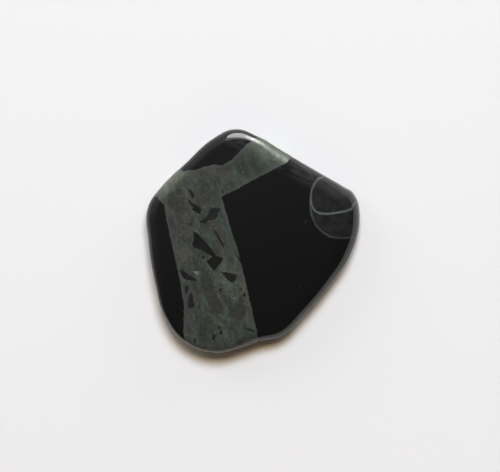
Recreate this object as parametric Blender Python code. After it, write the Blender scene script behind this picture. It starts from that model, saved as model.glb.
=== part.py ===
"""A flat, polished chunk of black obsidian: one solid with a rounded five-sided outline.

The back is flat and the stone rests on it. The front is ground to a low crown with one
broad facet, and its edge is rounded over by hand, much more on the right than on the left.
Frame: +X to the right and +Y to the top of the face, +Z out of the polished front.
The origin is under the middle of the stone, on the back.
"""

import math

import bmesh
import bpy
from mathutils import Vector

MM = 0.001

# Driving dimensions of the whole stone.
WIDTH = 24.6 * MM
LENGTH = 25.7 * MM
THICKNESS = 4.4 * MM

# The outline, anticlockwise from the right corner. Each point is its place from the
# stone's middle and the radius of the rounding to the front there, in millimetres.
OUTLINE_MM = (
    (12.31, 2.70, 2.3),
    (11.65, 5.35, 2.2),
    (10.35, 6.25, 2.0),
    (8.00, 7.60, 1.7),
    (3.25, 10.35, 1.2),
    (0.55, 11.95, 1.0),
    (-2.05, 12.80, 1.35),
    (-4.40, 11.85, 1.2),
    (-7.95, 8.70, 1.1),
    (-10.55, 6.15, 1.1),
    (-12.15, 3.75, 1.3),
    (-12.10, 0.00, 1.3),
    (-11.30, -4.90, 0.95),
    (-10.10, -8.95, 0.8),
    (-7.80, -11.75, 0.75),
    (-4.35, -12.90, 0.8),
    (-1.45, -12.35, 1.1),
    (0.65, -11.60, 1.3),
    (3.40, -10.95, 1.65),
    (6.05, -8.40, 1.6),
    (8.85, -5.15, 1.75),
    (11.25, -1.60, 2.1),
)
CURVE_STEPS = 16
SEGMENTS = 120

# The edge is rounded square to a chord of this many segments each way, so that its large
# radius also fits round the right corner.
CHORD_REACH = 3

# The section of the edge: a small radius to the back, a wall with a faint belly, and
# the rounding to the front.
BACK_RADIUS = 0.9 * MM
BACK_STEPS = 4
WALL_BELLY = 0.06 * MM
WALL_STEPS = 2
FRONT_STEPS = 8
CROWN_STRIP = 0.45 * MM

# The front's low crown falls this much over its reach from its highest point.
CROWN_FALL = 0.45 * MM
CROWN_REACH = 12.5 * MM
CROWN_TOP = Vector((-1.2 * MM, -1.5 * MM))

# The facet along the upper right edge: which way it falls, how far out it starts,
# how steep it is beside the crown, and how wide the soft turn into it is.
FACET_DIRECTION = math.radians(62)
FACET_START = 8.6 * MM
FACET_SLOPE = 0.07
FACET_TURN = 0.5 * MM

# Obsidian: near black volcanic glass with a high polish.
OBSIDIAN_COLOUR = (0.012, 0.013, 0.012, 1.0)
OBSIDIAN_ROUGHNESS = 0.06


def clear_scene():
    for old in list(bpy.data.objects):
        bpy.data.objects.remove(old)


def smooth_outline():
    """The outline as many points of a closed curve, each with its rounding radius as z."""
    curve = bpy.data.curves.new("outline", "CURVE")
    curve.dimensions = "3D"
    curve.resolution_u = CURVE_STEPS
    spline = curve.splines.new("BEZIER")
    spline.use_cyclic_u = True
    spline.bezier_points.add(len(OUTLINE_MM) - 1)
    for point, place in zip(spline.bezier_points, OUTLINE_MM):
        point.co = Vector(place) * MM
        point.handle_left_type = "AUTO"
        point.handle_right_type = "AUTO"
    guide = bpy.data.objects.new("outline", curve)
    bpy.context.scene.collection.objects.link(guide)
    bpy.context.view_layer.update()
    depsgraph = bpy.context.evaluated_depsgraph_get()
    mesh = bpy.data.meshes.new_from_object(guide.evaluated_get(depsgraph))
    points = [vertex.co.copy() for vertex in mesh.vertices]
    bpy.data.meshes.remove(mesh)
    bpy.data.objects.remove(guide)
    return points


def fitted(points):
    """The points centred on the origin and brought to the stone's width and length."""
    left = min(p.x for p in points)
    right = max(p.x for p in points)
    bottom = min(p.y for p in points)
    top = max(p.y for p in points)
    across = WIDTH / (right - left)
    up = LENGTH / (top - bottom)
    return [
        Vector(((p.x - (left + right) / 2) * across, (p.y - (bottom + top) / 2) * up, p.z))
        for p in points
    ]


def evenly_spaced(points, count):
    """As many points as count, at equal steps along the closed line through the points."""
    closed = points + points[:1]
    lengths = [(b - a).to_2d().length for a, b in zip(closed, closed[1:])]
    step = sum(lengths) / count
    spaced = []
    travelled = 0.0
    for start, end, length in zip(closed, closed[1:], lengths):
        while len(spaced) < count and len(spaced) * step <= travelled + length:
            share = (len(spaced) * step - travelled) / length
            spaced.append(start.lerp(end, share))
        travelled += length
    return spaced


def inward_normals(points):
    """At each point of the anticlockwise outline, the level unit direction into the stone."""
    count = len(points)
    normals = []
    for i in range(count):
        along = points[(i + CHORD_REACH) % count] - points[i - CHORD_REACH]
        normals.append(Vector((-along.y, along.x, 0)).normalized())
    return normals


def front_height(x, y):
    """Height of the crowned and faceted front before its edge is rounded over."""
    away = Vector((x, y)) - CROWN_TOP
    crown = CROWN_FALL * away.length_squared / CROWN_REACH**2
    past = x * math.cos(FACET_DIRECTION) + y * math.sin(FACET_DIRECTION) - FACET_START
    facet = FACET_SLOPE * (past + math.hypot(past, FACET_TURN)) / 2
    return THICKNESS - crown - facet


def edge_section(point, normal):
    """The section of the edge at one point of the outline, from the back to the front."""
    radius = point.z
    wall_top = front_height(point.x, point.y) - radius
    section = []
    for step in range(BACK_STEPS):
        turn = math.pi / 2 * step / BACK_STEPS
        inset = BACK_RADIUS * (1 - math.sin(turn)) + WALL_BELLY
        section.append((inset, BACK_RADIUS * (1 - math.cos(turn))))
    for step in range(WALL_STEPS):
        share = step / WALL_STEPS
        inset = WALL_BELLY * (1 - math.sin(math.pi * share))
        section.append((inset, BACK_RADIUS + (wall_top - BACK_RADIUS) * share))
    for step in range(FRONT_STEPS + 1):
        turn = math.pi / 2 * step / FRONT_STEPS
        inset = radius * (1 - math.cos(turn)) + WALL_BELLY
        drop = radius * (1 - math.sin(turn))
        place = point + normal * inset
        section.append((inset, front_height(place.x, place.y) - drop))
    inset = radius + CROWN_STRIP + WALL_BELLY
    place = point + normal * inset
    section.append((inset, front_height(place.x, place.y)))
    return [
        Vector((point.x + normal.x * inset, point.y + normal.y * inset, height))
        for inset, height in section
    ]


def ring_above(ring, edges, mesh):
    """Extrudes a closed ring of edges, and returns the new ring in the same order."""
    made = bmesh.ops.extrude_edge_only(mesh, edges=edges)["geom"]
    new = {item for item in made if isinstance(item, bmesh.types.BMVert)}
    above = []
    for vert in ring:
        above.append(next(e.other_vert(vert) for e in vert.link_edges if e.other_vert(vert) in new))
    return above, [mesh.edges.get(pair) for pair in zip(above, above[1:] + above[:1])]


def add_edge(mesh, outline):
    """Lofts the edge ring by ring, and returns the rings that bound the back and the crown."""
    normals = inward_normals(outline)
    sections = [edge_section(point, normal) for point, normal in zip(outline, normals)]
    ring = [mesh.verts.new(section[0]) for section in sections]
    edges = [mesh.edges.new(pair) for pair in zip(ring, ring[1:] + ring[:1])]
    back_rim = edges
    for level in range(1, len(sections[0])):
        ring, edges = ring_above(ring, edges, mesh)
        for vert, section in zip(ring, sections):
            vert.co = section[level]
    return back_rim, edges


def fill_with_grid(mesh, rim):
    """Closes a ring with a grid of quads that spans a quarter of the ring each way."""
    quarter = len(rim) // 4
    rails = rim[:quarter] + rim[2 * quarter : 3 * quarter]
    filled = bmesh.ops.grid_fill(mesh, edges=rails)
    return {vert for face in filled["faces"] for vert in face.verts}


def build_chunk():
    outline = evenly_spaced(fitted(smooth_outline()), SEGMENTS)
    mesh = bmesh.new()
    back_rim, crown_rim = add_edge(mesh, outline)
    for vert in fill_with_grid(mesh, back_rim):
        vert.co.z = 0
    for vert in fill_with_grid(mesh, crown_rim):
        vert.co.z = front_height(vert.co.x, vert.co.y)
    bmesh.ops.recalc_face_normals(mesh, faces=mesh.faces)
    data = bpy.data.meshes.new("obsidian_chunk")
    mesh.to_mesh(data)
    mesh.free()
    data.shade_smooth()
    return bpy.data.objects.new("obsidian_chunk", data)


def obsidian():
    material = bpy.data.materials.new("obsidian")
    material.use_nodes = True
    shader = material.node_tree.nodes["Principled BSDF"]
    shader.inputs["Base Color"].default_value = OBSIDIAN_COLOUR
    shader.inputs["Metallic"].default_value = 0.0
    shader.inputs["Roughness"].default_value = OBSIDIAN_ROUGHNESS
    return material


clear_scene()
collection = bpy.data.collections.new("obsidian chunk")
bpy.context.scene.collection.children.link(collection)
chunk = build_chunk()
chunk.data.materials.append(obsidian())
collection.objects.link(chunk)
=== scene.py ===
import math

import bpy
import numpy as np
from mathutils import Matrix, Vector


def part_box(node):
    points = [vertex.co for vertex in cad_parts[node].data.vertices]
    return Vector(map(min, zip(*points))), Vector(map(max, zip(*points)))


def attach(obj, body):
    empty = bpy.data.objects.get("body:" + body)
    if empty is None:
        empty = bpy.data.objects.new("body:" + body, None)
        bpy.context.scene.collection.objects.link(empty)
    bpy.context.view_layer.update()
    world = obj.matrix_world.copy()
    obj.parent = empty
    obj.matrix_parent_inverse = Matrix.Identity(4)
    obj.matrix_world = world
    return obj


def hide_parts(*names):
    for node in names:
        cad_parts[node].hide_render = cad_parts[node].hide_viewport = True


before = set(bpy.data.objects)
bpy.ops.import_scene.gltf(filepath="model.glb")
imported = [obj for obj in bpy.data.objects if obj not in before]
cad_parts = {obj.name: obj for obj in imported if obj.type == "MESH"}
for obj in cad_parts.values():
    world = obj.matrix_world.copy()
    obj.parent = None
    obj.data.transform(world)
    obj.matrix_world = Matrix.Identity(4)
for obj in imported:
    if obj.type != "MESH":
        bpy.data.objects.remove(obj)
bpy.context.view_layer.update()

scene = bpy.context.scene
bpy.ops.object.select_all(action="DESELECT")


# The camera looks straight down on the stone's face, as the photograph does, with +Y at
# the top. It is far enough off that the stone shows none of its walls.
MM = 0.001
PHOTO_WIDTH = 500
PHOTO_MIDDLE = (250.0, 236.0)
STONE_MIDDLE = (252.9, 240.65)  # where the photograph shows the middle of the stone
PIXEL_SIZE = 0.11494 * MM  # what one pixel covers at the stone's widest
WIDEST_HEIGHT = 1.6 * MM
CAMERA_HEIGHT = 300 * MM
SENSOR_WIDTH = 36.0

bpy.ops.object.camera_add(
    location=(
        (PHOTO_MIDDLE[0] - STONE_MIDDLE[0]) * PIXEL_SIZE,
        (STONE_MIDDLE[1] - PHOTO_MIDDLE[1]) * PIXEL_SIZE,
        CAMERA_HEIGHT,
    ),
    rotation=(0, 0, 0),
)
camera = bpy.context.object
camera.data.sensor_width = SENSOR_WIDTH
camera.data.lens = SENSOR_WIDTH * (CAMERA_HEIGHT - WIDEST_HEIGHT) / (PHOTO_WIDTH * PIXEL_SIZE)
camera.data.clip_start = 10 * MM
scene.camera = camera
scene.view_settings.view_transform = "Standard"


# The floor is a plain sheet of pale matt paper, much larger than the stone.
FLOOR_SIZE = 3.0
FLOOR_COLOUR = (0.80, 0.80, 0.79, 1)


def new_material(name):
    """A new node material, its node tree and its shader."""
    material = bpy.data.materials.new(name)
    material.use_nodes = True
    tree = material.node_tree
    return material, tree, tree.nodes["Principled BSDF"]


bpy.ops.mesh.primitive_plane_add(size=FLOOR_SIZE, location=(0, 0, 0))
floor = bpy.context.object
floor.name = "paper_floor"
paper, _, paper_shader = new_material("pale_paper")
paper_shader.inputs["Base Color"].default_value = FLOOR_COLOUR
paper_shader.inputs["Roughness"].default_value = 0.9
paper_shader.inputs["Specular IOR Level"].default_value = 0.1
floor.data.materials.append(paper)


# The light is soft daylight from beyond the top of the picture. The polished stone mirrors a
# tall window, with a brighter strip on its right and a dim surround. Other panels, which the
# stone doesn't mirror, light the paper: two high ones, a cool one and a warm one over it,
# give the short soft shadow its warm rim, and weak low ones and a lamp fill it.
WHITE = (1, 1, 1)
MIRRORED_LIGHTS = (  # direction, height, distance, degrees across and up, and radiance
    ("window_surround", 84, 30, 610 * MM, 38, 60, 1.5),
    ("window", 82, 21, 600 * MM, 43, 46, 5.9),
    ("strip_edge", 69, 23, 595 * MM, 15, 34, 5.0),
    ("bright_strip", 67, 23, 590 * MM, 8, 36, 9.5),
)
PANEL_DISTANCE = 640 * MM
PANELS = (  # direction, height, degrees across and up, radiance and colour
    ("cool_panel", 85, 65, 21, 14, 26.4, (0.885, 1, 1.17)),
    ("warm_panel", 85, 75, 21, 6, 17.8, (1.36, 1, 0.60)),
    ("low_left_panel", 140, 25, 30, 30, 1.8, WHITE),
    ("low_right_panel", 45, 17, 30, 26, 1.4, WHITE),
    ("room_lamp", 268, 30, 45, 30, 0.66, (1.32, 0.90, 0.50)),
)
ROOM_DIRECTION = 110  # degrees anticlockwise from +X, as are all directions here
ROOM_DARK = (0.098, 0.096, 0.093, 1)
ROOM_LIGHT = (0.80, 0.82, 0.84, 1)
ROOM_TURN = (-0.17, 1.0)  # how far a direction points towards the light side, dark to light
ROOM_FILL = 0.25  # what the room gives to matt surfaces, as a share of what the glass mirrors


def towards(direction, height):
    """The unit vector in a compass direction and at a height, both in degrees."""
    level = math.cos(math.radians(height))
    turn = math.radians(direction)
    return Vector((level * math.cos(turn), level * math.sin(turn), math.sin(math.radians(height))))


def add_light(name, place, across, up, radiance, colour):
    """An area light that faces the stone, and is as many degrees across and up as given."""
    facing = place.to_track_quat("Z", "Y").to_euler()
    bpy.ops.object.light_add(type="AREA", location=place, rotation=facing)
    light = bpy.context.object
    light.name = name
    light.data.shape = "RECTANGLE"
    light.data.size = 2 * place.length * math.tan(math.radians(across / 2))
    light.data.size_y = 2 * place.length * math.tan(math.radians(up / 2))
    light.data.energy = radiance * math.pi * light.data.size * light.data.size_y
    light.data.color = colour
    return light


for name, direction, height, distance, across, up, radiance in MIRRORED_LIGHTS:
    light = add_light(name, towards(direction, height) * distance, across, up, radiance, WHITE)
    light.data.shape = "ELLIPSE"
    light.visible_diffuse = False
for name, direction, height, across, up, radiance, colour in PANELS:
    light = add_light(name, towards(direction, height) * PANEL_DISTANCE, across, up, radiance, colour)
    light.visible_glossy = False


def add_node(tree, kind, inputs=None, **settings):
    """A shader node with its settings, and its inputs set to values or linked to sockets."""
    node = tree.nodes.new(kind)
    for name, value in settings.items():
        setattr(node, name, value)
    for key, value in (inputs or {}).items():
        if isinstance(value, bpy.types.NodeSocket):
            tree.links.new(value, node.inputs[key])
        else:
            node.inputs[key].default_value = value
    return node


def ramp(tree, value, low, high):
    """A smooth step from 0 to 1 as the value goes from low to high."""
    node = add_node(
        tree,
        "ShaderNodeMapRange",
        {"Value": value, "From Min": low, "From Max": high},
        interpolation_type="SMOOTHSTEP",
    )
    return node.outputs["Result"]


def blend(tree, factor, first, second, mode="MIX"):
    """The first colour, turned into the second by the factor."""
    node = add_node(tree, "ShaderNodeMix", data_type="RGBA", blend_type=mode)
    for socket, value in zip((node.inputs[0], node.inputs[6], node.inputs[7]), (factor, first, second)):
        if isinstance(value, bpy.types.NodeSocket):
            tree.links.new(value, socket)
        else:
            socket.default_value = value
    return node.outputs[2]


world = bpy.data.worlds.new("room")
scene.world = world
world.use_nodes = True
room = world.node_tree
looking = add_node(room, "ShaderNodeTexCoord").outputs["Generated"]
towards_light = add_node(
    room,
    "ShaderNodeVectorMath",
    {0: looking, 1: towards(ROOM_DIRECTION, 0)},
    operation="DOT_PRODUCT",
).outputs["Value"]
room_colour = blend(room, ramp(room, towards_light, *ROOM_TURN), ROOM_DARK, ROOM_LIGHT)
room.links.new(room_colour, room.nodes["Background"].inputs["Color"])
on_matt = add_node(room, "ShaderNodeLightPath").outputs["Is Diffuse Ray"]
fill = add_node(room, "ShaderNodeMapRange", {"Value": on_matt, "To Min": 1.0, "To Max": ROOM_FILL})
room.links.new(fill.outputs["Result"], room.nodes["Background"].inputs["Strength"])


# The stone is one piece of black volcanic glass, ground flat on the back, to a low crown
# with one broad facet on the front, and rounded over by hand all round its edge.
OUTLINE = (  # each point of the outline, in mm, with the radius of the rounding there
    (12.31, 2.70, 2.3),
    (11.65, 5.35, 2.2),
    (10.35, 6.25, 2.0),
    (8.00, 7.60, 1.7),
    (3.25, 10.35, 1.2),
    (0.55, 11.95, 1.0),
    (-2.05, 12.80, 1.35),
    (-4.40, 11.85, 1.2),
    (-7.95, 8.70, 1.1),
    (-10.55, 6.15, 1.1),
    (-12.15, 3.75, 1.3),
    (-12.10, 0.00, 1.3),
    (-11.30, -4.90, 0.95),
    (-10.10, -8.95, 0.8),
    (-7.80, -11.75, 0.75),
    (-4.35, -12.90, 0.8),
    (-1.45, -12.35, 1.1),
    (0.65, -11.60, 1.3),
    (3.40, -10.95, 1.65),
    (6.05, -8.40, 1.6),
    (8.85, -5.15, 1.75),
    (11.25, -1.60, 2.1),
)
CURVE_STEPS = 64
SEGMENTS = 480
CHORD_REACH = SEGMENTS // 40  # the edge is rounded square to a chord of this many segments each way
BACK_RADIUS = 0.9
BACK_STEPS = 8
WALL_BELLY = 0.06
WALL_STEPS = 6
SHOULDER = math.radians(45)  # the slope at which the rounding's outer and inner arcs meet
LIP_LEAN = math.radians(25)  # how far short of upright the outer arc starts along the lower right
LIP_DIRECTION = math.radians(-50)
LIP_RANGE = (3, 9)  # how far out that way the lean begins, and where it is whole
ARC_STEPS = 10
CROWN_STRIP = 0.45
CROWN_FALL = 0.45
CROWN_REACH = 12.5
CROWN_TOP = (-1.2, -1.5)
FACET_DIRECTION = math.radians(62)
FACET_START = 8.6
FACET_SLOPE = 0.07
FACET_TURN = 0.5
SAME_PLACE_DIGITS = 3  # places in mm that are equal to this many digits are the same

lowest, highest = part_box("obsidian_chunk")
width_mm, length_mm, thickness_mm = (highest - lowest) / MM


def outline_ring():
    """The outline as evenly spaced points in mm, each with its rounding radius as z."""
    bpy.ops.curve.primitive_bezier_circle_add()
    guide = bpy.context.object
    guide.data.splines.clear()
    guide.data.resolution_u = CURVE_STEPS
    spline = guide.data.splines.new("BEZIER")
    spline.use_cyclic_u = True
    spline.bezier_points.add(len(OUTLINE) - 1)
    for point, place in zip(spline.bezier_points, OUTLINE):
        point.co = place
        point.handle_left_type = "AUTO"
        point.handle_right_type = "AUTO"
    bpy.ops.object.convert(target="MESH")
    fine = np.array([vertex.co for vertex in guide.data.vertices])
    bpy.ops.object.delete()
    for axis, size in ((0, width_mm), (1, length_mm)):
        low = fine[:, axis].min()
        high = fine[:, axis].max()
        fine[:, axis] = (fine[:, axis] - (low + high) / 2) * size / (high - low)
    closed = np.vstack([fine, fine[:1]])
    travelled = np.append(0, np.cumsum(np.hypot(*np.diff(closed[:, :2], axis=0).T)))
    stops = np.linspace(0, travelled[-1], SEGMENTS, endpoint=False)
    return np.column_stack([np.interp(stops, travelled, closed[:, axis]) for axis in range(3)])


def front_height(x, y):
    """Height of the crowned and faceted front, in mm, before its edge is rounded over."""
    crown = CROWN_FALL * ((x - CROWN_TOP[0]) ** 2 + (y - CROWN_TOP[1]) ** 2) / CROWN_REACH**2
    past = x * math.cos(FACET_DIRECTION) + y * math.sin(FACET_DIRECTION) - FACET_START
    facet = FACET_SLOPE * (past + np.hypot(past, FACET_TURN)) / 2
    return thickness_mm - crown - facet


def edge_levels(ring):
    """The edge's section at every point of the ring, level by level from back to front."""
    along = np.roll(ring[:, :2], -CHORD_REACH, axis=0) - np.roll(ring[:, :2], CHORD_REACH, axis=0)
    inward = np.column_stack([-along[:, 1], along[:, 0]]) / np.hypot(*along.T)[:, None]
    radius = ring[:, 2]
    out = ring[:, 0] * math.cos(LIP_DIRECTION) + ring[:, 1] * math.sin(LIP_DIRECTION)
    lip = math.pi / 2 - LIP_LEAN * np.clip((out - LIP_RANGE[0]) / (LIP_RANGE[1] - LIP_RANGE[0]), 0, 1)
    lip_radius = radius * (1 - math.sin(SHOULDER)) / (np.sin(lip) - math.sin(SHOULDER))
    shoulder_inset = radius * (1 - math.sin(SHOULDER))
    shoulder_drop = radius * (1 - math.cos(SHOULDER))
    lip_drop = shoulder_drop + lip_radius * (math.cos(SHOULDER) - np.cos(lip))
    wall_top = front_height(ring[:, 0], ring[:, 1]) - lip_drop
    levels = []

    def add_level(inset, height=None, drop=0.0):
        place = ring[:, :2] + inward * np.broadcast_to(inset + WALL_BELLY, radius.shape)[:, None]
        if height is None:
            height = front_height(*place.T) - drop
        levels.append(np.column_stack([place, np.broadcast_to(height, radius.shape)]))

    for turn in np.linspace(0, math.pi / 2, BACK_STEPS, endpoint=False):
        add_level(BACK_RADIUS * (1 - math.sin(turn)), BACK_RADIUS * (1 - math.cos(turn)))
    for share in np.linspace(0, 1, WALL_STEPS, endpoint=False):
        height = BACK_RADIUS + (wall_top - BACK_RADIUS) * share
        add_level(-WALL_BELLY * math.sin(math.pi * share), height)
    for share in np.linspace(1, 0, ARC_STEPS, endpoint=False):
        slope = SHOULDER + (lip - SHOULDER) * share
        inset = shoulder_inset - lip_radius * (np.sin(slope) - math.sin(SHOULDER))
        add_level(inset, drop=shoulder_drop + lip_radius * (math.cos(SHOULDER) - np.cos(slope)))
    for slope in np.linspace(SHOULDER, 0, ARC_STEPS + 1):
        add_level(radius * (1 - math.sin(slope)), drop=radius * (1 - math.cos(slope)))
    add_level(radius + CROWN_STRIP)
    return levels


def get_places(piece):
    """The piece's vertices as an array, in mm."""
    flat = np.empty(len(piece.data.vertices) * 3, "f")
    piece.data.vertices.foreach_get("co", flat)
    return flat.reshape(-1, 3).astype(float) / MM


def set_places(piece, places):
    """Puts the piece's vertices at these places, in mm."""
    piece.data.vertices.foreach_set("co", (places * MM).astype("f").ravel())
    piece.data.update()


def select_vertices(piece, chosen):
    """Selects only the chosen vertices, and what lies between them, in edit mode."""
    bpy.ops.object.mode_set(mode="EDIT")
    bpy.ops.mesh.select_mode(type="VERT")
    bpy.ops.mesh.select_all(action="DESELECT")
    bpy.ops.object.mode_set(mode="OBJECT")
    piece.data.vertices.foreach_set("select", chosen)
    bpy.ops.object.mode_set(mode="EDIT")


def settle_selected(piece, height):
    """Leaves edit mode, and puts the selected vertices at the height for their place."""
    bpy.ops.object.mode_set(mode="OBJECT")
    chosen = np.empty(len(piece.data.vertices), bool)
    piece.data.vertices.foreach_get("select", chosen)
    places = get_places(piece)
    places[chosen, 2] = height(places[chosen, 0], places[chosen, 1])
    set_places(piece, places)


def back_height(x, y):
    """Height of the flat back, in mm."""
    return np.zeros(len(x))


# The edge is a flat grid rolled up round the outline, and its two ends are closed by grids
# of quads: the flat back and the crowned front.
levels = np.array(edge_levels(outline_ring()))
bpy.ops.mesh.primitive_grid_add(x_subdivisions=SEGMENTS, y_subdivisions=len(levels) - 1, size=1)
stone = bpy.context.object
stone.name = "polished_stone"
set_places(stone, np.concatenate([levels, levels[:, :1]], axis=1).reshape(-1, 3))
bpy.ops.object.mode_set(mode="EDIT")
bpy.ops.mesh.select_all(action="SELECT")
bpy.ops.mesh.remove_doubles(threshold=10**-SAME_PLACE_DIGITS * MM)
bpy.ops.object.mode_set(mode="OBJECT")
for end, height in ((levels[0], back_height), (levels[-1], front_height)):
    rim = {tuple(place) for place in np.round(end, SAME_PLACE_DIGITS)}
    rounded = np.round(get_places(stone), SAME_PLACE_DIGITS)
    select_vertices(stone, [tuple(place) in rim for place in rounded])
    bpy.ops.mesh.fill_grid(span=SEGMENTS // 4)
    settle_selected(stone, height)
bpy.ops.object.mode_set(mode="EDIT")
bpy.ops.mesh.select_all(action="SELECT")
bpy.ops.mesh.normals_make_consistent(inside=False)
bpy.ops.object.mode_set(mode="OBJECT")
bpy.ops.object.shade_smooth()


# A band of grey-green breccia, broken glass welded by fine ash, runs through the black
# glass from top to bottom, with an arm to the upper right. Its contacts are three planes.
# Outlines are in mm on the front, and those of the black blocks run on past the stone.
MAIN_BLOCK = (
    (0.6, -10.95),
    (-0.35, -6.8),
    (-1.15, -3.35),
    (-1.7, -1.05),
    (-2.65, 1.8),
    (-3.55, 5.0),
    (-1.5, 6.05),
    (1.05, 7.45),
    (3.7, 8.8),
    (4.25, 9.25),
    (6.45, 11.3),
    (17.95, 11.3),
    (17.95, -16.0),
    (1.55, -16.0),
)
UPPER_LEFT_BLOCK = (
    (-8.4, 8.3),
    (-7.9, 8.0),
    (-6.55, 8.1),
    (-5.5, 8.45),
    (-4.45, 8.7),
    (-3.55, 8.6),
    (-2.4, 9.25),
    (-1.5, 10.2),
    (-0.8, 10.9),
    (-0.1, 11.45),
    (0.85, 12.4),
    (0.85, 16.0),
    (-14.05, 16.0),
    (-10.55, 9.0),
)
LEFT_BLOCK = (
    (-11, 5.0),
    (-10.7, 4.65),
    (-10.1, 4.0),
    (-9.75, 1.8),
    (-9.2, -0.5),
    (-8.7, -2.8),
    (-8.25, -5.1),
    (-7.9, -7.4),
    (-7.9, -10.1),
    (-7.75, -16.0),
    (-18.05, -16.0),
    (-18.05, 7.0),
)
BLOCK_DIPS = (  # each block with how far its contact moves per mm of depth
    (MAIN_BLOCK, (-0.12, 0.05)),
    (UPPER_LEFT_BLOCK, (0.05, -0.15)),
    (LEFT_BLOCK, (0.15, 0.0)),
)

# Splinters of black glass in the band, and some that look grey through a film of ash.
BLACK_FRAGMENTS = (
    ((-7.4, 5.8), (-7.1, 5.8), (-6.65, 5.25), (-6.7, 5.0), (-6.95, 4.85), (-7.1, 5.35)),
    (
        (-7.45, 4.6),
        (-7.3, 4.65),
        (-6.8, 4.15),
        (-6.4, 4.05),
        (-5.9, 3.55),
        (-6, 3.05),
        (-6.45, 3.3),
        (-7, 3.55),
        (-6.7, 3.8),
        (-7.05, 4.05),
    ),
    (
        (-6.75, 1.0),
        (-6.35, 0.85),
        (-5.3, -0.3),
        (-4.15, -1.75),
        (-4.4, -1.95),
        (-5.3, -1.4),
        (-5.85, -1.0),
        (-6.75, -0.75),
        (-6.85, -0.45),
        (-6.7, 0.2),
    ),
    (
        (-5.25, -2.3),
        (-4.65, -1.9),
        (-4.15, -1.75),
        (-3.45, -2.0),
        (-3.6, -2.4),
        (-4.45, -3.45),
        (-5.05, -2.65),
    ),
    ((-4.5, 1.25), (-4.2, 1.0), (-3.75, 0.2), (-3.35, -0.45), (-3.35, -0.8), (-4.25, 0.8)),
    ((-5.8, -1.85), (-5.65, -1.7), (-5.5, -1.85), (-5.65, -2.05)),
    ((-3.85, -5.6), (-3.7, -5.45), (-3.6, -5.6), (-3.75, -5.75)),
    ((-1.1, -6.1), (-1, -5.95), (-0.85, -6.1), (-1, -6.3)),
    ((-4, -9.9), (-3.85, -9.75), (-3.75, -9.9), (-3.9, -10.05)),
    ((-3.6, 5.6), (-3.5, 5.75), (-3.4, 5.6), (-3.5, 5.45)),
    ((-7.1, 1.9), (-7, 2.0), (-6.9, 1.9), (-7, 1.75)),
)
GREY_FRAGMENTS = (
    (
        (-4.8, 3.65),
        (-4.4, 3.75),
        (-3.6, 3.6),
        (-3.95, 3.3),
        (-4, 2.75),
        (-4.55, 2.35),
        (-5.1, 2.3),
        (-5.35, 1.95),
        (-6.15, 2.1),
        (-5.5, 2.55),
        (-5.15, 3.0),
        (-5, 3.35),
    ),
    ((-1.9, -1.6), (-1.35, -2.1), (-1.05, -2.5), (-1.15, -2.8), (-1.45, -2.45), (-1.8, -1.85)),
    (
        (-3.6, -3.6),
        (-3.1, -3.6),
        (-2.45, -3.7),
        (-1.85, -3.95),
        (-1.95, -4.5),
        (-2.35, -4.8),
        (-2.85, -4.5),
        (-3.35, -3.95),
    ),
    (
        (-8.25, -3.3),
        (-8.05, -3.3),
        (-7.7, -3.65),
        (-6.65, -4.3),
        (-6.4, -4.45),
        (-6.55, -4.55),
        (-7.55, -4.5),
        (-7.9, -4.25),
        (-8.3, -3.5),
    ),
    (
        (-7, -5.8),
        (-6.9, -6.15),
        (-6.85, -6.65),
        (-6.65, -7.3),
        (-6.8, -7.6),
        (-7.15, -7.7),
        (-7.4, -7.55),
        (-7.4, -7.0),
        (-7.3, -6.55),
    ),
    ((-3.75, -10.2), (-3.55, -10.2), (-3.5, -10.65), (-3.75, -10.65)),
    ((-7.7, -5.25), (-7.5, -5.1), (-7.3, -5.25), (-7.55, -6.05), (-7.75, -5.75)),
    ((-4.55, -10.7), (-4.3, -10.7), (-4.3, -11.15), (-4.45, -11.4), (-4.6, -11.15)),
    ((-0.95, -9.95), (-0.45, -10.0), (0.15, -10.3), (0.2, -10.45), (-0.4, -10.2)),
    ((-6.8, -11.15), (-6.65, -11.1), (-6.5, -11.5), (-6.55, -11.7), (-6.7, -11.55)),
)
FRAGMENT_THICKNESS = 0.7  # how deep these go under the front

# Rounded patches of coarser, browner grey ash in the band, and its few pale flecks.
GREY_PATCHES = (
    (
        (-9.65, 5.45),
        (-8.9, 5.45),
        (-8, 4.4),
        (-7.55, 3.75),
        (-7.8, 3.15),
        (-8.5, 3.0),
        (-9.4, 3.8),
        (-9.85, 4.0),
    ),
    (
        (-5.9, -3.05),
        (-5.35, -3.25),
        (-4.65, -4.55),
        (-4.35, -5.65),
        (-3.3, -7.65),
        (-3.45, -8.25),
        (-4.05, -8.4),
        (-4.65, -8.0),
        (-5.75, -5.95),
        (-6.05, -3.95),
    ),
    (
        (-1.95, -7.35),
        (-1.45, -6.2),
        (-0.95, -6.15),
        (-0.8, -7.4),
        (-0.75, -8.4),
        (-1.5, -9.15),
        (-2.1, -8.85),
        (-2.75, -8.65),
        (-2.55, -7.95),
    ),
    (
        (-5.9, -8.55),
        (-5.35, -9.0),
        (-5.1, -9.8),
        (-5.25, -10.7),
        (-4.8, -11.55),
        (-5.75, -11.85),
        (-6.2, -11.2),
        (-6.1, -9.95),
    ),
    ((-7.1, -1.7), (-6.6, -1.75), (-6.15, -2.6), (-5.8, -3.45), (-6.65, -3.45), (-6.9, -2.5)),
    ((-7.25, 0.3), (-7.05, 0.3), (-7.0, -0.15), (-7.2, -0.2)),
    ((-2.6, -1.9), (-2.2, -1.95), (-2.15, -2.7), (-2.45, -2.8)),
    ((1.95, 8.95), (2.35, 9.2), (2.95, 9.05), (2.75, 8.6), (2.15, 8.5)),
)
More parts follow.
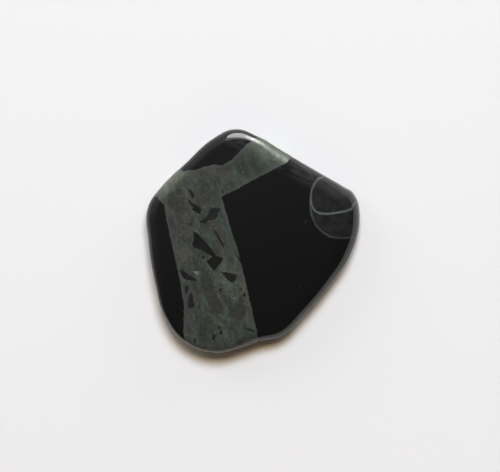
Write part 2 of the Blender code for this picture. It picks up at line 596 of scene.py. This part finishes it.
PALE_FLECKS = (
    ((-6.8, -3.5), (-6.1, -3.5), (-6.4, -3.95)),
    ((-2.29, -6.6), (-2.15, -6.47), (-2.01, -6.6), (-2.15, -6.74)),
    ((-1.05, -7.2), (-1, -7.1), (-0.9, -7.2), (-1, -7.3)),
    ((-2.7, 6.15), (-2.6, 6.2), (-2.55, 6.1), (-2.65, 6.05)),
)

# Two thin healed cracks near the right corner, filled with the band's mineral: a clear
# one that loops back to the edge, and a fainter one that leaves it. The glass that they
# close in is a little hazy.
CLEAR_VEIN = (
    (8.55, 7.6),
    (8.1, 7.35),
    (7.5, 7.1),
    (7.05, 6.55),
    (6.7, 5.8),
    (6.6, 5.05),
    (6.6, 4.55),
    (6.7, 4.0),
    (7.05, 3.4),
    (7.65, 3.1),
    (8.45, 3.05),
    (9.35, 3.15),
    (10.5, 3.35),
    (11.3, 3.65),
    (11.6, 4.1),
    (12.15, 4.8),
)
CLEAR_VEIN_WIDTH = 0.24
FAINT_VEIN = (
    (6.55, 4.4),
    (6.6, 3.3),
    (6.75, 2.7),
    (7.15, 1.8),
    (7.6, 1.3),
    (8.1, 0.85),
    (8.75, 0.5),
    (9.35, 0.35),
    (10.2, 0.3),
    (11.2, 0.4),
    (12.55, 0.6),
)
FAINT_VEIN_WIDTH = 0.19
VEIN_DIP = (-0.15, -0.1)  # how far they move per mm of depth
HAZY_GLASS = CLEAR_VEIN + ((12.95, 8.0),)
HAZY_GLASS_BELOW = FAINT_VEIN + ((12.95, 4.5), (10.45, 3.2), (8.45, 3.05), (7.05, 3.4))
HAZY_SPOTS = (  # two faint marks in the black glass
    ((5.75, 2.15), (5.95, 2.4), (6.25, 2.3), (6.2, 2.0), (5.95, 1.9)),
    ((5.15, -5.2), (5.35, -5.0), (5.55, -5.15), (5.4, -5.4)),
)


def segment_distance(places, start, end):
    """How far each place is from the straight line between two points."""
    along = np.subtract(end, start)
    from_start = places - start
    share = np.clip(from_start @ along / (along @ along), 0, 1)
    return np.hypot(*(from_start - share[:, None] * along).T)


def line_distance(places, line):
    """How far each place is from an open line through the points."""
    return np.min([segment_distance(places, a, b) for a, b in zip(line, line[1:])], axis=0)


def inside_by(places, corners):
    """How far each place is inside a closed outline; below zero outside it."""
    closed = corners + corners[:1]
    inside = np.zeros(len(places), bool)
    for (x0, y0), (x1, y1) in zip(closed, closed[1:]):
        spans = (places[:, 1] < y0) != (places[:, 1] < y1)
        if y0 != y1:
            inside ^= spans & (places[:, 0] < x0 + (places[:, 1] - y0) * (x1 - x0) / (y1 - y0))
    return np.where(inside, 1, -1) * line_distance(places, closed)


def inside_any(places, outlines):
    """How far each place is inside the nearest of several closed outlines."""
    return np.max([inside_by(places, corners) for corners in outlines], axis=0)


def pattern_fields(places):
    """The stone's pattern as distances in mm at each place, named for the material."""
    flat = places[:, :2]
    depth = front_height(flat[:, 0], flat[:, 1]) - places[:, 2]
    thin = FRAGMENT_THICKNESS - depth
    in_blocks = [inside_by(flat - depth[:, None] * dip, block) for block, dip in BLOCK_DIPS]
    dipped = flat - depth[:, None] * VEIN_DIP
    black = inside_any(flat, BLACK_FRAGMENTS)
    grey = inside_any(flat, GREY_FRAGMENTS)
    return {
        "depth": depth,
        "band": -np.max(in_blocks, axis=0),
        "black_fragment": np.minimum(black, thin),
        "grey_fragment": np.minimum(grey, thin),
        "grey_patch": np.minimum(inside_any(flat, GREY_PATCHES), thin),
        "pale_fleck": np.minimum(inside_any(flat, PALE_FLECKS), thin),
        "clear_vein": CLEAR_VEIN_WIDTH / 2 - line_distance(dipped, CLEAR_VEIN),
        "faint_vein": FAINT_VEIN_WIDTH / 2 - line_distance(dipped, FAINT_VEIN),
        "haze": inside_any(dipped, (HAZY_GLASS, HAZY_GLASS_BELOW, *HAZY_SPOTS)),
    }


# The front's mesh is refined twice along the pattern's edges, so that they are crisp.
SHARP_FIELDS = ("band", "black_fragment", "grey_fragment", "pale_fleck", "clear_vein", "faint_vein")
REFINED_DISTANCES = (0.30, 0.15)
ON_FRONT = 0.0005  # vertices less deep than this are on the front itself

for distance in REFINED_DISTANCES:
    places = get_places(stone)
    fields = pattern_fields(places)
    near = np.min([np.abs(fields[name]) for name in SHARP_FIELDS], axis=0) < distance
    select_vertices(stone, near & (np.abs(fields["depth"]) < ON_FRONT))
    bpy.ops.mesh.subdivide(number_cuts=1, ngon=False)
    settle_selected(stone, front_height)
for name, values in pattern_fields(get_places(stone)).items():
    attribute = stone.data.attributes.new(name, "FLOAT", "POINT")
    attribute.data.foreach_set("value", values.astype("f"))


# The glass is near black with a mirror polish, and faintly scuffed on the facet, where the scuffs are
# painted lighter than the glass, partly as a painted sheen. The band takes a duller polish, which is
# worn along the arm's outer end, and the back is satin.
GLASS = (0.0030, 0.0030, 0.0030, 1)
HAZE = (0.011, 0.0115, 0.011, 1)
# Scuffs on the facet, painted lighter than the glass, partly as a painted sheen.
SCUFFS_AND_SHEEN = (0.019, 0.019, 0.018, 1)
GREEN_ASH = (0.0395, 0.0485, 0.0395, 1)
BROWN_ASH = (0.0345, 0.0355, 0.0310, 1)
GREEN_TINT = (0.91, 1.03, 0.97, 1)
PINK_TINT = (1.09, 0.97, 1.04, 1)
YELLOW_TINT = (1.02, 1.00, 0.91, 1)
BLUE_TINT = (0.98, 1.00, 1.09, 1)
# Painted light: the ash at the arm's end, where its rim faces the window, is painted paler.
PAINTED_LIGHT_END = (0.069, 0.091, 0.062, 1)
# Painted light: the ash along the upper left rim, which faces the window, is painted paler.
PAINTED_LIGHT_RIM = (0.113, 0.124, 0.084, 1)
PALE_ASH = (0.080, 0.100, 0.078, 1)
DARK_ASH = (0.013, 0.013, 0.012, 1)
MARGIN_ASH = (0.046, 0.050, 0.048, 1)
BROWN_PATCH = (0.025, 0.026, 0.022, 1)
SPLINTER_GLASS = (0.0042, 0.0041, 0.0038, 1)
GREY_GLASS = (0.0078, 0.0079, 0.0080, 1)
PALE_FLECK = (0.115, 0.128, 0.108, 1)
VEIN_MINERAL = (0.082, 0.098, 0.086, 1)
GLASS_ROUGHNESS = 0.04
BAND_ROUGHNESS = 0.28
WORN_ROUGHNESS = 0.46
BACK_ROUGHNESS = 0.38
OBSIDIAN_IOR = 1.49
FLOW_DIRECTION = math.radians(-72)  # the way that the ash is drawn out
FLOW_STRETCH = 2.4
FACET_STRETCH = 3.0  # the scuffs and their painted sheen on the facet run along it
DEEP_FRAGMENTS = 0.5  # Voronoi cells to the mm, for the splinters that only the edge and back show
DEEP_SHARE = 0.72  # a cell whose random value is above this is a splinter
DEEP_WHOLE = 1.1  # how deep under the front they show in full
FAINT_VEIN_SHOWS = 0.42  # how much of the mineral's colour the fainter crack has
SCUFF_SHEEN_EDGE = 0.6  # how softly the scuffs and their painted sheen begin each side of the facet's start
SATIN_HEIGHTS = (1.3, 0.7)  # the polish turns to the back's satin between these
NOISE_RANGE = (0.3, 0.7)  # where nearly all of a noise lies
CLOUDS = (  # a broad tone of the ash: the middle of its place, how far it reaches, and its tint
    ((-1.9, -5.0), 3.4, (1.36, 1.48, 1.34, 1)),
    ((-3.6, -9.6), 1.8, (1.16, 1.22, 1.12, 1)),
    ((-0.8, -10.6), 1.6, (0.72, 0.78, 0.76, 1)),
    ((-8.3, -1.6), 2.2, (1.16, 1.18, 1.00, 1)),
    ((-4.4, 5.6), 3.2, (0.78, 0.80, 0.77, 1)),
    ((0.0, 9.0), 3.8, (0.64, 0.75, 0.68, 1)),
    ((0.4, 9.7), 1.4, (0.78, 0.80, 0.78, 1)),
)
PAINTED_LIGHT_ARM_END = (60, 8.3, 9.9)  # a direction, and where out that way the ash is painted paler, as painted light on the rim that faces the window
PAINTED_LIGHT_UPPER_RIM = (133, 10.0, 11.75)  # the same for the painted light on the band's upper left rim
WORN_END = (0, 0.4, 2.4)  # and for the loss of polish towards the arm's outer end

polished, tree, shader = new_material("banded_obsidian")
in_metres = add_node(tree, "ShaderNodeTexCoord").outputs["Object"]
in_mm = add_node(
    tree, "ShaderNodeVectorMath", {0: in_metres, "Scale": 1 / MM}, operation="SCALE"
).outputs["Vector"]
along_flow = add_node(
    tree, "ShaderNodeMapping", {"Vector": in_mm, "Rotation": (0, 0, -FLOW_DIRECTION)}
).outputs["Vector"]
drawn_out = add_node(
    tree, "ShaderNodeMapping", {"Vector": along_flow, "Scale": (1 / FLOW_STRETCH, 1, 1)}
).outputs["Vector"]
turned_to_facet = add_node(
    tree, "ShaderNodeMapping", {"Vector": in_mm, "Rotation": (0, 0, -FACET_DIRECTION)}
).outputs["Vector"]
along_facet = add_node(
    tree, "ShaderNodeMapping", {"Vector": turned_to_facet, "Scale": (1, 1 / FACET_STRETCH, 1)}
).outputs["Vector"]


def field(name):
    """One of the stone's pattern fields, in mm."""
    return add_node(tree, "ShaderNodeAttribute", attribute_name=name).outputs["Fac"]


def calculate(operation, *values):
    """The result of one sum on values or sockets."""
    return add_node(tree, "ShaderNodeMath", dict(enumerate(values)), operation=operation).outputs[0]


def noise(scale, seed, detail=3.0, distortion=0.0, vector=in_mm):
    """Soft noise from about 0.3 to 0.7, with scale features to the mm."""
    inputs = {"Vector": vector, "W": seed, "Scale": scale, "Detail": detail, "Distortion": distortion}
    return add_node(tree, "ShaderNodeTexNoise", inputs, noise_dimensions="4D").outputs["Fac"]


def multiply(first, second):
    """The product of two values or sockets."""
    return calculate("MULTIPLY", first, second)


def uneven(value, amount, scale):
    """A distance, moved by noise by up to about a fifth of the amount each way."""
    return calculate("ADD", value, multiply(calculate("SUBTRACT", noise(scale, 0), 0.5), amount))


def toned(colour, value, amount):
    """The colour, made up to the amount darker or lighter by noise."""
    low, high = NOISE_RANGE
    inputs = {
        "Value": value,
        "From Min": low,
        "From Max": high,
        "To Min": 1 - amount,
        "To Max": 1 + amount,
    }
    tone = add_node(tree, "ShaderNodeMapRange", inputs).outputs["Result"]
    return blend(tree, 1.0, colour, tone, "MULTIPLY")


def tinted(colour, value, low_tint, high_tint):
    """The colour, tinted one way or the other by noise."""
    tint = blend(tree, ramp(tree, value, *NOISE_RANGE), low_tint, high_tint)
    return blend(tree, 1.0, colour, tint, "MULTIPLY")


def reach(direction, start, end):
    """A smooth step from 0 to 1 between two distances from the stone's middle, one way out."""
    inputs = {0: in_mm, 1: towards(direction, 0)}
    along = add_node(tree, "ShaderNodeVectorMath", inputs, operation="DOT_PRODUCT").outputs["Value"]
    return ramp(tree, along, start, end)


def clouded(colour, middle, radius, tint):
    """The colour, tinted round a place on the front, and less so towards the radius."""
    inputs = {0: in_mm, 1: (*middle, thickness_mm)}
    away = add_node(tree, "ShaderNodeVectorMath", inputs, operation="DISTANCE").outputs["Value"]
    near = ramp(tree, uneven(away, 2.5, 0.7), radius, radius * 0.3)
    return blend(tree, near, colour, tint, "MULTIPLY")


def deep_fragments(depth):
    """A step to 1 in angular splinters under the front's skin, which are a guess."""
    inputs = {"Vector": drawn_out, "Scale": DEEP_FRAGMENTS}
    cells = add_node(tree, "ShaderNodeTexVoronoi", inputs)
    edges = add_node(tree, "ShaderNodeTexVoronoi", inputs, feature="DISTANCE_TO_EDGE")
    split = add_node(tree, "ShaderNodeSeparateColor", {"Color": cells.outputs["Color"]})
    chosen = calculate("GREATER_THAN", split.outputs["Red"], DEEP_SHARE)
    within = ramp(tree, edges.outputs["Distance"], 0.06, 0.10)
    return multiply(multiply(chosen, within), ramp(tree, depth, FRAGMENT_THICKNESS, DEEP_WHOLE))


# The ash is streaks of green and brown with broad clouds, three sizes of grain, soft tints
# and pale and dark specks. The splinters, patches and flecks lie over it.
depth = field("depth")
band_depth = uneven(field("band"), 0.30, 1.6)
in_band = ramp(tree, uneven(band_depth, 0.06, 7.0), -0.03, 0.05)

streaks = ramp(tree, noise(0.9, 1, 3, 0.6, drawn_out), 0.36, 0.64)
ash = blend(tree, streaks, BROWN_ASH, GREEN_ASH)
for middle, radius, tint in CLOUDS:
    ash = clouded(ash, middle, radius, tint)
# Painted light: the arm's end and the upper left rim, which face the window, are painted paler.
ash = blend(tree, reach(*PAINTED_LIGHT_ARM_END), ash, PAINTED_LIGHT_END)
ash = blend(tree, reach(*PAINTED_LIGHT_UPPER_RIM), ash, PAINTED_LIGHT_RIM)
ash = toned(ash, noise(1.5, 2, 2, 0.5, drawn_out), 0.34)
ash = toned(ash, noise(3.2, 3, 2, 0.3), 0.24)
ash = toned(ash, noise(7.5, 4, 1), 0.17)
ash = tinted(ash, noise(2.1, 8, 3), GREEN_TINT, PINK_TINT)
ash = tinted(ash, noise(1.7, 9, 3), YELLOW_TINT, BLUE_TINT)
pale_specks = ramp(tree, noise(3.2, 5, 1), 0.60, 0.72)
ash = blend(tree, multiply(pale_specks, 0.5), ash, PALE_ASH)
dark_specks = ramp(tree, noise(2.4, 6, 2), 0.38, 0.28)
ash = blend(tree, multiply(dark_specks, 0.7), ash, DARK_ASH)
margin = ramp(tree, band_depth, 0.50, 0.10)
ash = blend(tree, multiply(margin, 0.6), ash, MARGIN_ASH)
patch = ramp(tree, uneven(field("grey_patch"), 0.5, 1.8), -0.08, 0.12)
ash = blend(tree, multiply(patch, 0.8), ash, toned(BROWN_PATCH, noise(2.6, 7, 2), 0.35))
pale_fleck = ramp(tree, field("pale_fleck"), -0.06, 0.05)
ash = blend(tree, pale_fleck, ash, PALE_FLECK)
grey_fragment = ramp(tree, uneven(field("grey_fragment"), 0.15, 5.0), -0.08, 0.04)
ash = blend(tree, grey_fragment, ash, toned(GREY_GLASS, noise(1.6, 10), 0.5))
black_fragment = ramp(tree, uneven(field("black_fragment"), 0.15, 5.0), -0.08, 0.02)
splinters = calculate("MAXIMUM", black_fragment, deep_fragments(depth))
ash = blend(tree, splinters, ash, toned(SPLINTER_GLASS, noise(0.5, 14, 2), 0.55))

# The black glass has haze by the cracks, scuffs on the facet that are partly a painted sheen, and the
# two cracks over both.
scuffs_and_sheen = ramp(tree, noise(1.5, 11, 3, 0.0, along_facet), 0.44, 0.62)
on_facet = reach(math.degrees(FACET_DIRECTION), FACET_START - SCUFF_SHEEN_EDGE, FACET_START + SCUFF_SHEEN_EDGE)
haze = ramp(tree, field("haze"), -0.05, 0.1)
glass = blend(tree, haze, GLASS, toned(HAZE, noise(1.4, 12, 3), 0.45))
glass = blend(tree, multiply(scuffs_and_sheen, on_facet), glass, SCUFFS_AND_SHEEN)
mineral = toned(VEIN_MINERAL, noise(1.1, 13, 3), 0.3)
faint_vein = ramp(tree, uneven(field("faint_vein"), 0.25, 0.8), -0.08, 0.08)
glass = blend(tree, multiply(faint_vein, FAINT_VEIN_SHOWS), glass, mineral)
clear_vein = ramp(tree, uneven(field("clear_vein"), 0.16, 0.8), -0.07, 0.09)
glass = blend(tree, clear_vein, glass, mineral)
tree.links.new(blend(tree, in_band, glass, ash), shader.inputs["Base Color"])


def between(factor, first, second):
    """The first value, turned into the second by the factor."""
    inputs = {0: factor, 2: first, 3: second}
    return add_node(tree, "ShaderNodeMix", inputs, data_type="FLOAT").outputs[0]


on_back = ramp(tree, depth, *(thickness_mm - height for height in SATIN_HEIGHTS))
band_polish = between(reach(*WORN_END), BAND_ROUGHNESS, WORN_ROUGHNESS)
polish = between(in_band, GLASS_ROUGHNESS, band_polish)
finish = between(on_back, polish, BACK_ROUGHNESS)
tree.links.new(finish, shader.inputs["Roughness"])
shader.inputs["IOR"].default_value = OBSIDIAN_IOR
stone.data.materials.append(polished)

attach(stone, "root")
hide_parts("obsidian_chunk")
